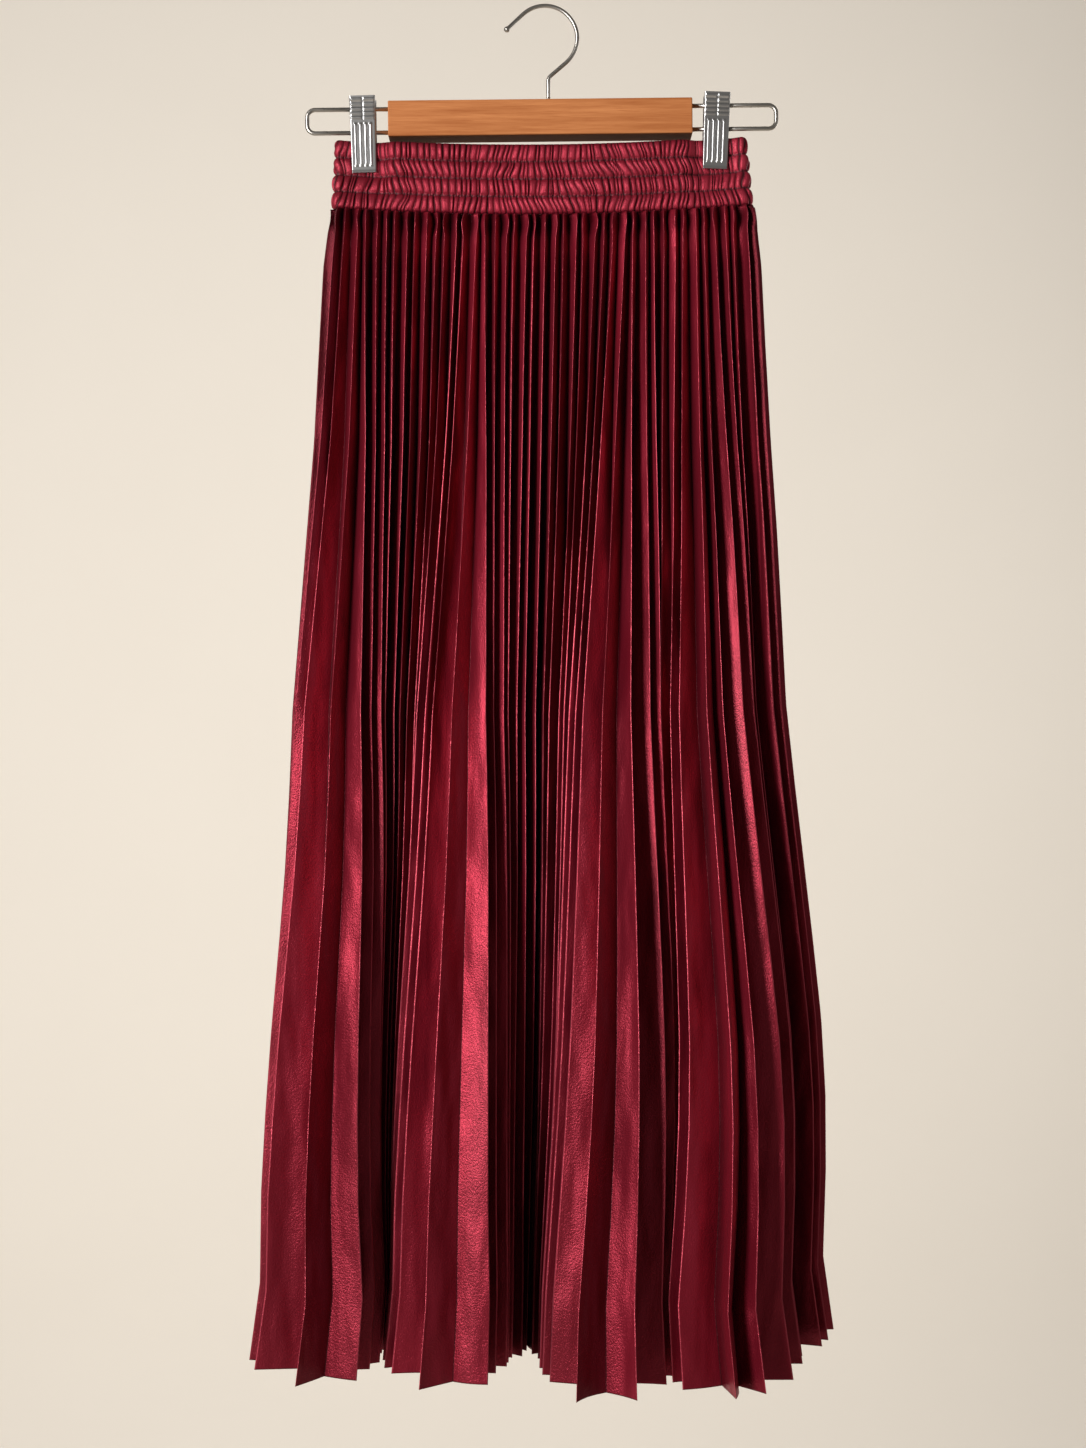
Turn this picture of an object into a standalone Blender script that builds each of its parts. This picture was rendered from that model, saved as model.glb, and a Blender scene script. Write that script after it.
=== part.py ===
"""A long sunray-pleated satin skirt with a gathered elastic waistband, clipped to a hanger.

Sizes are in millimetres and are turned into metres where the meshes are made.
X runs to the right, Y to the back and Z up. The origin is the underside of the top of
the hook, where a rail carries the hanger, so everything else hangs below it.
"""
import bpy
import bmesh
import numpy as np
from math import cos, pi, radians, sin, sqrt

MM = 0.001
GAP = 0.3

# Skirt: height, pleats and cloth
HEM_HEIGHT = -1023.0
PLEATS = 44
FACE_TOP = 9.5
FACE_HEM = 37.0
CLOTH = 1.0
WALL_SHIFT_MOST = 3.0
SEAM_PRESS = 0.5
SEAM_PRESS_SHARE = 0.05
FOLD_GROWTH = 1.3
CROWDING = 0.5
PLEAT_UNEVEN = 0.16
PLEAT_STRIDE = 3.7
PLEAT_START = 3.3
DEPTH_UNEVEN = 0.11
DEPTH_STRIDE = 2.1
DEPTH_LEAST = 0.5
DEPTH_SHARE_LEAST = 0.3
LIMIT_POWER = 4.0
TINY = 0.001
BASE_STEPS = 8
BEND_BLUR = 6
CURVE_STEPS = 20
END_STEPS = 12

# Top of the skirt: a flat loop, seen from above
TOP_LEFT = -157.5
TOP_RIGHT = 156.5
TOP_HALF_DEPTH = 9.0

# Waistband: its four channels, its outline and where the clips press it
BAND_CHANNELS = 4
CHANNEL_HEIGHT = 13.0
BAND_CENTRE_TOP = -104.6
BAND_SIDE_RISE = 6.2
BAND_HALF_WIDTH = 155.0
BAND_TILT = 0.0087
BAND_LEFT = (-157.0, -159.0)
BAND_RIGHT = (152.5, 157.0)
BAND_GATHERS = 112
BAND_COLUMNS = 2 * BAND_GATHERS
BAND_INNER_COLUMNS = BAND_GATHERS // 2
BAND_STEPS = 400
BAND_OPEN = 6.4
BAND_PRESSED = 0.5
BAND_END_RADIUS = 4.5
BAND_SEAM_WALL = 1.3
BAND_PUFF = 2.0
BAND_RELEASE = 0.5
BAND_GATHER_DEPTH = 0.6
GATHER_UNEVEN = 0.35
GATHER_STRIDE = 1.9
GATHER_AT_STITCHES = 0.35
GATHER_PRESSED = 0.6
PUFF_PRESSED = 0.3
PRESS_HALF_WIDTH = 12.0
PRESS_FADE = 16.0

# Each row is one ring of the pleated panels: its share of the way down, and how far
# the left and right outlines stand off a straight flare there
SECTIONS = (
    # share, left_mm, right_mm
    (0.00, 0.0, 0.0),
    (0.04, 0.0, -0.5),
    (0.12, 1.0, -2.0),
    (0.20, 2.0, -3.0),
    (0.28, 1.0, -3.0),
    (0.36, 0.0, -4.0),
    (0.43, -1.0, -5.0),
    (0.50, 0.5, -2.5),
    (0.57, 1.0, 0.5),
    (0.64, 0.0, 3.5),
    (0.71, -1.0, 6.0),
    (0.78, -1.0, 5.5),
    (0.85, 0.0, 2.0),
    (0.93, 4.0, -4.5),
    (1.00, 0.0, 0.0),
)

# The hem's large folds seen from above, a row for each turn of the cloth, front panel
# from the left side seam to the right one. The last column is how far the pleats are
# pulled open there: more than 1 for broad flat faces, less for pleats pushed together
FRONT_FOLDS = (
    # across_mm, back_mm, lift_mm, opened
    (-205, 52, 0, 1.0),
    (-206, 18, 0, 1.5),
    (-185, -12, 0, 2.2),
    (-158, -18, 0, 2.2),
    (-147, 10, 0, 1.0),
    (-141, 42, 0, 0.9),
    (-124, 60, 0, 0.85),
    (-106, 42, 0, 0.9),
    (-101, 8, 0, 1.0),
    (-84, -24, 0, 2.2),
    (-60, -28, 0, 2.2),
    (-50, 6, 0, 1.0),
    (-38, 42, 0, 0.9),
    (-10, 62, 0, 0.8),
    (12, 38, 0, 0.9),
    (18, -8, 0, 1.1),
    (28, -50, 0, 2.3),
    (54, -53, 0, 2.3),
    (79, -18, 0, 1.5),
    (97, 8, 0, 1.3),
    (112, -22, 0, 1.3),
    (130, -42, 0, 1.2),
    (156, -34, 0, 1.6),
    (173, 0, 0, 2.1),
    (184, 38, 2, 1.3),
    (198, 54, 5, 1.0),
    (209, 78, 8, 1.0),
)

# The same for the back panel, from the right side seam round to the left one
BACK_FOLDS = (
    # across_mm, back_mm, lift_mm, opened
    (209, 78, 8, 1.0),
    (205, 106, 6, 1.2),
    (178, 128, 2, 1.5),
    (146, 112, 0, 0.8),
    (104, 136, 0, 1.4),
    (56, 114, 0, 0.8),
    (8, 138, 0, 1.5),
    (-44, 112, 0, 0.8),
    (-92, 136, 0, 1.5),
    (-140, 126, 0, 0.9),
    (-172, 116, 0, 1.2),
    (-198, 80, 0, 1.0),
    (-205, 52, 0, 1.0),
)

# Hanger: everything on it leans with the bar, right side up
HANGER_LEAN = 0.62
BAR_CENTRE = (-3.5, -84.5)
BAR_SIZE = (227.0, 20.0, 26.7)
BAR_EDGE = 0.8
WIRE_RADIUS = 1.65
WIRE_HEIGHTS = (-74.8, -92.4)
WIRE_ENDS = (-178.2, 173.4)
WIRE_CORNER = 6.0
WIRE_SEAT = 22.0
WIRE_STEPS = 4
BORE_SPARE = 2.0
HOOK_RADIUS = 24.3
HOOK_WIRE = 1.5
HOOK_CENTRE_X = 0.6
HOOK_START = 133.0
HOOK_END = -50.0
HOOK_SHANK_X = 2.8
HOOK_SEAT = 12.0
HOOK_BALL = 2.3
HOOK_TIP_RUN = 16.0
HOOK_BEND = 6.0
HOOK_BALL_ROUND = (20.0, 60.0, 90.0, 125.0)
HOOK_STEPS = 22
BEND_STEPS = 5

# Clips: two pressed steel jaws on a spring block that slides on the wires
CLIP_TOP = -66.4
CLIP_WIDTH = 19.4
CLIP_PLACES = (("left", -136.4, 1.0), ("right", 129.2, -2.6))
JAW_INSIDE = 4.6
JAW_STEEL = 1.3
FLUTE_COUNT = 4
FLUTE_PITCH = 3.9
FLUTE_WIDTH = 2.3
FLUTE_FLANK = 0.6
FLUTE_HEIGHT = 0.8
BLOCK_TOP = -2.5
BLOCK_FOOT = -30.5
BLOCK_WIDTH = 15.0
BLOCK_CLEARANCE = 0.7

# A jaw from its top edge down: where each row lies, whether the flutes stand there and
# how far the jaw flares
JAW_ROWS = (
    # drop_mm, fluted, flare_mm
    (0.0, 0.0, 1.6),
    (-3.0, 0.0, 0.5),
    (-7.0, 0.0, 0.0),
    (-20.0, 0.0, 0.0),
    (-22.0, 1.0, 0.0),
    (-50.5, 1.0, 0.0),
    (-52.5, 0.0, 0.0),
    (-57.2, 0.0, 0.0),
)

# Finishes: colour, roughness and metallic value
SATIN = ((0.30, 0.018, 0.042, 1.0), 0.35, 0.0)
BEECH = ((0.55, 0.22, 0.09, 1.0), 0.45, 0.0)
STEEL = ((0.62, 0.61, 0.59, 1.0), 0.25, 1.0)


def clear_scene():
    for item in list(bpy.data.objects):
        bpy.data.objects.remove(item, do_unlink=True)


def give_finish(item, finish):
    colour, roughness, metallic = finish
    material = bpy.data.materials.new(item.name)
    material.use_nodes = True
    shader = material.node_tree.nodes["Principled BSDF"]
    shader.inputs["Base Color"].default_value = colour
    shader.inputs["Roughness"].default_value = roughness
    shader.inputs["Metallic"].default_value = metallic
    item.data.materials.append(material)


def solid(name, points, faces, finish, parent=None):
    """A closed body from points in millimetres and faces, its faces turned outwards."""
    mesh = bpy.data.meshes.new(name)
    mesh.from_pydata([tuple(float(value) * MM for value in point) for point in points], [], faces)
    shaper = bmesh.new()
    shaper.from_mesh(mesh)
    bmesh.ops.recalc_face_normals(shaper, faces=shaper.faces)
    shaper.to_mesh(mesh)
    shaper.free()
    item = bpy.data.objects.new(name, mesh)
    bpy.context.scene.collection.objects.link(item)
    item.parent = parent
    give_finish(item, finish)
    return item


# Curves seen from above

def rounded_line(rows):
    """Points of a Catmull-Rom curve through the rows, which leaves each end along Y."""
    rows = np.array(rows, dtype=float)
    first = rows[1].copy()
    first[1] = 2.0 * rows[0][1] - rows[1][1]
    last = rows[-2].copy()
    last[1] = 2.0 * rows[-1][1] - rows[-2][1]
    rows = np.vstack([first, rows, last])
    points = []
    for before, start, end, after in zip(rows, rows[1:], rows[2:], rows[3:]):
        for step in np.linspace(0.0, 1.0, CURVE_STEPS, endpoint=False):
            points.append(0.5 * (2.0 * start + (end - before) * step
                                 + (2.0 * before - 5.0 * start + 4.0 * end - after) * step ** 2
                                 + (3.0 * start - before - 3.0 * end + after) * step ** 3))
    points.append(rows[-2])
    return np.array(points)


def at_lengths(points, shares, opened=None):
    """The points at the given shares of a curve's length, further apart where it is opened."""
    steps = np.linalg.norm(np.diff(points[:, :2], axis=0), axis=1)
    if opened is not None:
        steps = steps / (0.5 * (opened[1:] + opened[:-1]))
    travelled = np.concatenate([[0.0], np.cumsum(steps)]) / steps.sum()
    return np.stack([np.interp(shares, travelled, column) for column in points.T], axis=1)


def flat_loop_half(left, right, depth):
    """Half of a flat loop, from its left end round the front to its right end."""
    turn = np.linspace(0.0, pi / 2, END_STEPS)
    left_end = [(left + depth - depth * cos(angle), -depth * sin(angle)) for angle in turn]
    right_end = [(right - depth + depth * cos(angle), -depth * sin(angle)) for angle in turn[::-1]]
    return np.array(left_end + right_end)


# Pleated panels

def seam_height(across):
    """Height of the seam between waistband and skirt, which sags between the clips."""
    top = BAND_CENTRE_TOP + BAND_SIDE_RISE * (across / BAND_HALF_WIDTH) ** 2 + BAND_TILT * across
    return top - BAND_CHANNELS * CHANNEL_HEIGHT


def sway(across, share, section_columns):
    """Sideways shift that gives the outline its own left and right edge at this height."""
    shares, lefts, rights = section_columns
    rightness = np.clip((across - TOP_LEFT) / (TOP_RIGHT - TOP_LEFT), 0.0, 1.0)
    return (np.interp(share, shares, lefts) * (1.0 - rightness) ** 2
            + np.interp(share, shares, rights) * rightness ** 2)


def crease_places():
    """Each crease's place in pleats along the panel, and its side: 1 a ridge, -1 a valley."""
    places = [(0.0, 0)]
    for pleat in range(PLEATS):
        uneven = PLEAT_UNEVEN * sin(PLEAT_STRIDE * pleat + PLEAT_START)
        places.append((pleat + 0.25 + uneven, 1))
        places.append((pleat + 0.75 + 0.5 * uneven, -1))
    places.append((float(PLEATS), 0))
    return places


def ring(folds, is_front, share):
    """Outer and inner points of one ring of a pleated panel."""
    steps = np.linspace(0.0, 1.0, PLEATS * BASE_STEPS + 1)
    top = at_lengths(flat_loop_half(TOP_LEFT, TOP_RIGHT, TOP_HALF_DEPTH), steps)
    if not is_front:
        top = top[::-1] * (1.0, -1.0)
    hem_line = rounded_line(folds)
    hem = at_lengths(hem_line, steps, hem_line[:, 3])
    across = top[:, 0] + (hem[:, 0] - top[:, 0]) * share
    across = across + sway(across, share, np.array(SECTIONS).T)
    back = top[:, 1] + (hem[:, 1] - top[:, 1]) * share ** FOLD_GROWTH
    top_height = seam_height(top[:, 0]) - GAP
    height = top_height + (HEM_HEIGHT + hem[:, 2] - top_height) * share

    # Pleat pitch, facing and tightness of the large folds along this ring
    run = np.stack([np.gradient(across), np.gradient(back)], axis=1)
    length = np.linalg.norm(run, axis=1)
    run = run / length[:, None]
    pitch = length * BASE_STEPS
    facing = np.stack([run[:, 1], -run[:, 0]], axis=1)
    bend = np.gradient(np.unwrap(np.arctan2(run[:, 1], run[:, 0]))) / length
    bend = np.convolve(np.pad(bend, BEND_BLUR, mode="edge"),
                       np.ones(2 * BEND_BLUR + 1) / (2 * BEND_BLUR + 1), mode="valid")

    face = FACE_TOP + (FACE_HEM - FACE_TOP) * share
    press = min(1.0, SEAM_PRESS + (1.0 - SEAM_PRESS) * share / SEAM_PRESS_SHARE)
    least = (DEPTH_SHARE_LEAST * face) ** 2
    depth = 0.5 * press * np.sqrt(np.maximum(face ** 2 - (pitch / 2.0) ** 2, least))
    line = []
    heights = []
    for number, (place, side) in enumerate(crease_places()):
        here = place * BASE_STEPS
        spot = np.arange(len(across))
        middle = np.array([np.interp(here, spot, across), np.interp(here, spot, back)])
        normal = np.array([np.interp(here, spot, facing[:, 0]), np.interp(here, spot, facing[:, 1])])
        if side == 0:
            middle[1] += -GAP / 2 if is_front else GAP / 2
        uneven = 1.0 + DEPTH_UNEVEN * sin(DEPTH_STRIDE * number)
        local_depth = np.interp(here, spot, depth) * uneven
        tightness = max(0.0, -side * np.interp(here, spot, bend))
        most = CROWDING / max(tightness, TINY) - (WALL_SHIFT_MOST if side < 0 else 0.0)
        most = max(DEPTH_LEAST, most)
        reach = local_depth / (1.0 + (local_depth / most) ** LIMIT_POWER) ** (1.0 / LIMIT_POWER)
        line.append(middle + normal * reach * side)
        heights.append(np.interp(here, spot, height))
    outer = [(*point, level) for point, level in zip(line, heights)]
    inner = [(*point, level) for point, level in zip(inside_line(line), heights)]
    return outer, inner


def inside_line(line):
    """The inner side of a folded line of cloth, mitred at each crease."""
    line = np.array(line)
    run = np.diff(line, axis=0)
    run = run / np.linalg.norm(run, axis=1)[:, None]
    inward = np.stack([-run[:, 1], run[:, 0]], axis=1)
    shifts = [WALL_SHIFT_MOST * np.array([-np.sign(line[0][0]), 0.0])]
    for before, after in zip(inward, inward[1:]):
        mitre = (before + after) * CLOTH / max(TINY, 1.0 + before @ after)
        shifts.append(mitre * min(1.0, WALL_SHIFT_MOST / np.linalg.norm(mitre)))
    shifts.append(WALL_SHIFT_MOST * np.array([-np.sign(line[-1][0]), 0.0]))
    return line + np.array(shifts)


def wall(rings):
    """Points and faces of an open strip of cloth with thickness, from its rings."""
    columns = len(rings[0][0])
    points = []
    for outer, inner in rings:
        points.extend(outer)
        points.extend(inner)
    faces = []

    def spot(row, column, is_inner):
        return (2 * row + is_inner) * columns + column

    for row in range(len(rings) - 1):
        for column in range(columns - 1):
            for is_inner in (0, 1):
                corners = [spot(row, column, is_inner), spot(row, column + 1, is_inner),
                           spot(row + 1, column + 1, is_inner), spot(row + 1, column, is_inner)]
                # Each fold is split from the same upper crease, so its sides stay apart
                first = column % 2
                faces.append((corners[0], corners[1], corners[3 - first]))
                faces.append((corners[1 - first], corners[2], corners[3]))
        for column in (0, columns - 1):
            faces.append((spot(row, column, 0), spot(row + 1, column, 0),
                          spot(row + 1, column, 1), spot(row, column, 1)))
    for row in (0, len(rings) - 1):
        for column in range(columns - 1):
            faces.append((spot(row, column, 0), spot(row, column + 1, 0),
                          spot(row, column + 1, 1), spot(row, column, 1)))
    return points, faces


def make_panel(name, folds, is_front):
    rings = [ring(folds, is_front, share) for share, left, right in SECTIONS]
    points, faces = wall(rings)
    return solid(name, points, faces, SATIN)


# Waistband

def pressing(across):
    """How far the clips press the waistband flat at this place, from 0 to 1."""
    hold = 0.0
    for name, centre, lean in CLIP_PLACES:
        off = max(0.0, abs(across - centre) - PRESS_HALF_WIDTH) / PRESS_FADE
        hold = max(hold, 1.0 - min(1.0, off) ** 2 * (3.0 - 2.0 * min(1.0, off)))
    return hold


def band_hollow(share, columns):
    """The waistband's inside seen from above, as a closed loop of points."""
    left = BAND_LEFT[0] + (BAND_LEFT[1] - BAND_LEFT[0]) * share + BAND_SEAM_WALL + BAND_PUFF
    right = BAND_RIGHT[0] + (BAND_RIGHT[1] - BAND_RIGHT[0]) * share - BAND_SEAM_WALL - BAND_PUFF
    release = max(0.0, share - BAND_RELEASE) / (1.0 - BAND_RELEASE)
    half = []
    for across in np.linspace(left, right, BAND_STEPS):
        to_end = min(across - left, right - across, BAND_END_RADIUS)
        round_end = sqrt(1.0 - (1.0 - to_end / BAND_END_RADIUS) ** 2)
        hold = pressing(across) * (1.0 - release)
        half.append((across, -round_end * (BAND_OPEN + (BAND_PRESSED - BAND_OPEN) * hold)))
    half = np.array(half)
    loop = np.vstack([half, half[-2::-1] * (1.0, -1.0)])
    return at_lengths(loop, np.arange(columns) / columns)


def facing_out(loop):
    """Outward directions of a closed loop that runs round the front from left to right."""
    run = np.roll(loop, -1, axis=0) - np.roll(loop, 1, axis=0)
    run = run / np.linalg.norm(run, axis=1)[:, None]
    return np.stack([run[:, 1], -run[:, 0]], axis=1)


def make_waistband():
    """Four puffed channels with gathers raised outside, over a plain inside."""
    rows = 2 * BAND_CHANNELS + 1
    points = []
    for row in range(rows):
        share = row / (rows - 1)
        loop = band_hollow(share, BAND_COLUMNS)
        out = facing_out(loop)
        puff = row % 2
        for column in range(BAND_COLUMNS):
            hold = pressing(loop[column][0]) if share <= BAND_RELEASE else 0.0
            gather = (1 - 2 * (column % 2)) * (1.0 + GATHER_UNEVEN * sin(GATHER_STRIDE * column))
            swell = GATHER_AT_STITCHES + (1.0 - GATHER_AT_STITCHES) * puff
            thick = BAND_SEAM_WALL + puff * (BAND_PUFF - PUFF_PRESSED * hold)
            thick += BAND_GATHER_DEPTH * gather * swell * (1.0 - GATHER_PRESSED * hold)
            x, y = loop[column] + out[column] * thick
            height = seam_height(x) + (1.0 - share) * BAND_CHANNELS * CHANNEL_HEIGHT
            points.append((x, y, height))
    inner_start = len(points)
    inner_rows = (0.0, 0.5, 1.0)
    for share in inner_rows:
        for x, y in band_hollow(share, BAND_INNER_COLUMNS):
            height = seam_height(x) + (1.0 - share) * BAND_CHANNELS * CHANNEL_HEIGHT
            points.append((x, y, height))
    faces = []
    for row in range(rows - 1):
        for column in range(BAND_COLUMNS):
            after = (column + 1) % BAND_COLUMNS
            faces.append((row * BAND_COLUMNS + column, row * BAND_COLUMNS + after,
                          (row + 1) * BAND_COLUMNS + after, (row + 1) * BAND_COLUMNS + column))
    for row in range(len(inner_rows) - 1):
        for column in range(BAND_INNER_COLUMNS):
            after = (column + 1) % BAND_INNER_COLUMNS
            start = inner_start + row * BAND_INNER_COLUMNS
            faces.append((start + column, start + after,
                          start + BAND_INNER_COLUMNS + after, start + BAND_INNER_COLUMNS + column))

    # Top and bottom rims join four outer steps to each inner one
    each = BAND_COLUMNS // BAND_INNER_COLUMNS
    rims = ((0, inner_start),
            ((rows - 1) * BAND_COLUMNS, inner_start + (len(inner_rows) - 1) * BAND_INNER_COLUMNS))
    for outer_row, inner_row in rims:
        for column in range(BAND_INNER_COLUMNS):
            here = inner_row + column
            after = inner_row + (column + 1) % BAND_INNER_COLUMNS
            outer = [outer_row + (column * each + step) % BAND_COLUMNS for step in range(each + 1)]
            for step in range(each // 2):
                faces.append((outer[step], outer[step + 1], here))
            faces.append((outer[each // 2], after, here))
            for step in range(each // 2, each):
                faces.append((outer[step], outer[step + 1], after))
    return solid("waistband", points, faces, SATIN)


# Hanger

def tube(name, path, radii, finish, parent, sides=8):
    """A round bar along a path in the X-Z plane, with a radius for each of its points."""
    path = np.array(path)
    run = np.gradient(path, axis=0)
    run = run / np.linalg.norm(run, axis=1)[:, None]
    points = []
    for (x, z), (run_x, run_z), radius in zip(path, run, radii):
        for side in range(sides):
            angle = 2.0 * pi * side / sides
            out = radius * cos(angle)
            points.append((x - run_z * out, radius * sin(angle), z + run_x * out))
    faces = [tuple(range(sides)), tuple(range(len(points) - sides, len(points)))]
    for row in range(len(path) - 1):
        for side in range(sides):
            after = (side + 1) % sides
            faces.append((row * sides + side, row * sides + after,
                          (row + 1) * sides + after, (row + 1) * sides + side))
    return solid(name, points, faces, finish, parent)


def arc(centre_x, centre_z, radius, start, end, steps):
    angles = [radians(start + (end - start) * step / steps) for step in range(steps + 1)]
    return [(centre_x + radius * cos(angle), centre_z + radius * sin(angle)) for angle in angles]


def cutter(name, radius, length, place, rotation, parent, sides=12):
    """A hidden round cutter for a blind bore."""
    shaper = bmesh.new()
    bmesh.ops.create_cone(shaper, cap_ends=True, segments=sides, radius1=radius * MM,
                          radius2=radius * MM, depth=length * MM)
    mesh = bpy.data.meshes.new(name)
    shaper.to_mesh(mesh)
    shaper.free()
    item = bpy.data.objects.new(name, mesh)
    bpy.context.scene.collection.objects.link(item)
    item.location = [value * MM for value in place]
    item.rotation_euler = rotation
    item.parent = parent
    item.hide_render = True
    item.display_type = "WIRE"
    return item


def cut(item, tool):
    modifier = item.modifiers.new(tool.name, "BOOLEAN")
    modifier.operation = "DIFFERENCE"
    modifier.solver = "EXACT"
    modifier.object = tool


def block(name, size, centre, edge, finish, parent):
    """A block with its long edges eased."""
    shaper = bmesh.new()
    bmesh.ops.create_cube(shaper, size=1.0)
    bmesh.ops.scale(shaper, vec=[value * MM for value in size], verts=shaper.verts)
    mesh = bpy.data.meshes.new(name)
    shaper.to_mesh(mesh)
    shaper.free()
    item = bpy.data.objects.new(name, mesh)
    bpy.context.scene.collection.objects.link(item)
    item.location = [value * MM for value in centre]
    item.parent = parent
    bevel = item.modifiers.new("eased edges", "BEVEL")
    bevel.width = edge * MM
    bevel.segments = 2
    give_finish(item, finish)
    return item


def make_bar(lean):
    bar_x, bar_z = BAR_CENTRE
    bar = block("hanger_bar", BAR_SIZE, (bar_x, 0.0, bar_z), BAR_EDGE, BEECH, lean)
    for side, end in ((-1, "left"), (1, "right")):
        face = bar_x + side * BAR_SIZE[0] / 2
        for number, height in enumerate(WIRE_HEIGHTS):
            depth = WIRE_SEAT + BORE_SPARE
            tool = cutter(f"bore_{end}_{number}", WIRE_RADIUS + GAP, 2.0 * depth,
                          (face, 0.0, height), (0.0, pi / 2, 0.0), lean)
            cut(bar, tool)
    tool = cutter("bore_hook", HOOK_WIRE + GAP, 2.0 * (HOOK_SEAT + BORE_SPARE),
                  (HOOK_SHANK_X, 0.0, bar_z + BAR_SIZE[2] / 2), (0.0, 0.0, 0.0), lean)
    cut(bar, tool)
    return bar


def make_wire(name, side, outer, lean):
    """A wire bent to a long U, with both ends seated in the bar."""
    upper, lower = WIRE_HEIGHTS
    seat = BAR_CENTRE[0] + side * (BAR_SIZE[0] / 2 - WIRE_SEAT)
    turn = outer - side * WIRE_CORNER
    side_angle = 90.0 - side * 90.0
    foot_angle = 90.0 - side * 180.0
    path = [(seat, upper)]
    path += arc(turn, upper - WIRE_CORNER, WIRE_CORNER, 90.0, side_angle, WIRE_STEPS)
    path += arc(turn, lower + WIRE_CORNER, WIRE_CORNER, side_angle, foot_angle, WIRE_STEPS)
    path += [(seat, lower)]
    return tube(name, path, [WIRE_RADIUS] * len(path), STEEL, lean)


def make_hook(lean):
    """A ball on a straight tip, the round part, a slant, and a shank seated in the bar."""
    centre_z = HOOK_WIRE - HOOK_RADIUS
    round_part = arc(HOOK_CENTRE_X, centre_z, HOOK_RADIUS, HOOK_START, HOOK_END, HOOK_STEPS)
    end_x, end_z = round_part[-1]
    turn = radians(HOOK_END)
    slant = (end_x - HOOK_SHANK_X - HOOK_BEND * (1.0 - cos(turn))) / -sin(turn)
    end_x += slant * sin(turn)
    end_z -= slant * cos(turn)
    bend = arc(end_x + HOOK_BEND * cos(turn), end_z + HOOK_BEND * sin(turn),
               HOOK_BEND, HOOK_END + 180.0, 180.0, BEND_STEPS)
    bar_top = BAR_CENTRE[1] + BAR_SIZE[2] / 2
    path = round_part + bend + [(HOOK_SHANK_X, bar_top - HOOK_SEAT)]
    radii = [HOOK_WIRE] * len(path)
    first_x, first_z = round_part[0]
    start = radians(HOOK_START)
    ball = []
    for angle in HOOK_BALL_ROUND:
        out = HOOK_TIP_RUN + HOOK_BALL * cos(radians(angle))
        ball.append((first_x - out * sin(start), first_z + out * cos(start)))
    swell = [HOOK_BALL * sin(radians(angle)) for angle in HOOK_BALL_ROUND]
    return tube("hanger_hook", ball + path, swell + radii, STEEL, lean)


def jaw_points(side):
    """Grid of points over one jaw: outside rows with flutes, then plain inside rows."""
    half = CLIP_WIDTH / 2
    columns = [(-half, 0.0)]
    for flute in range(FLUTE_COUNT):
        centre = (flute - (FLUTE_COUNT - 1) / 2) * FLUTE_PITCH
        columns += [(centre - FLUTE_WIDTH / 2, 0.0), (centre - FLUTE_WIDTH / 2 + FLUTE_FLANK, 1.0),
                    (centre + FLUTE_WIDTH / 2 - FLUTE_FLANK, 1.0), (centre + FLUTE_WIDTH / 2, 0.0)]
    columns.append((half, 0.0))
    outside = []
    inside = []
    for drop, fluted, flare in JAW_ROWS:
        for across, raised in columns:
            inner = JAW_INSIDE + flare
            outside.append((across, side * (inner + JAW_STEEL + FLUTE_HEIGHT * raised * fluted), drop))
            inside.append((across, side * inner, drop))
    return outside, inside, len(JAW_ROWS), len(columns)


def make_jaw(name, side, clip):
    """One pressed steel jaw with four flutes down its lower part."""
    outside, inside, rows, columns = jaw_points(side)
    rings = []
    for row in range(rows):
        cells = slice(row * columns, (row + 1) * columns)
        rings.append((outside[cells], inside[cells]))
    points, faces = wall(rings)
    return solid(name, points, faces, STEEL, clip)


def make_clip(name, centre, own_lean, lean):
    """Front and back jaw, and the spring block that slides on both wires."""
    clip = bpy.data.objects.new(f"{name}_place", None)
    bpy.context.scene.collection.objects.link(clip)
    clip.location = (centre * MM, 0.0, CLIP_TOP * MM)
    clip.rotation_euler = (0.0, -radians(own_lean), 0.0)
    clip.parent = lean
    make_jaw(f"{name}_jaw_front", -1, clip)
    make_jaw(f"{name}_jaw_back", 1, clip)
    height = BLOCK_TOP - BLOCK_FOOT
    size = (BLOCK_WIDTH, 2.0 * (JAW_INSIDE - GAP), height)
    spring = block(f"{name}_spring", size, (0.0, 0.0, BLOCK_TOP - height / 2), BAR_EDGE, STEEL, clip)
    for number, wire in enumerate(WIRE_HEIGHTS):
        tool = cutter(f"{name}_slide_{number}", WIRE_RADIUS + BLOCK_CLEARANCE, 2.0 * BLOCK_WIDTH,
                      (0.0, 0.0, wire - CLIP_TOP), (0.0, pi / 2, 0.0), clip)
        cut(spring, tool)


def make_hanger():
    lean = bpy.data.objects.new("hanger_lean", None)
    bpy.context.scene.collection.objects.link(lean)
    lean.rotation_euler = (0.0, -radians(HANGER_LEAN), 0.0)
    make_bar(lean)
    make_wire("wire_left", -1, WIRE_ENDS[0], lean)
    make_wire("wire_right", 1, WIRE_ENDS[1], lean)
    make_hook(lean)
    for side, centre, own_lean in CLIP_PLACES:
        make_clip(f"clip_{side}", centre, own_lean, lean)


clear_scene()
make_panel("skirt_front", FRONT_FOLDS, True)
make_panel("skirt_back", BACK_FOLDS, False)
make_waistband()
make_hanger()
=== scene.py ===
"""The looks of a pleated satin skirt on a clip hanger: cloth, sewing, wood and plated steel.

Sizes are in millimetres, as in the part's source, and are turned into metres where the
meshes are made. The origin is the underside of the top of the hook.
"""
import bpy
import bmesh
import numpy as np
from math import cos, pi, radians, sin, sqrt
from mathutils import Matrix, Vector


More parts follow.
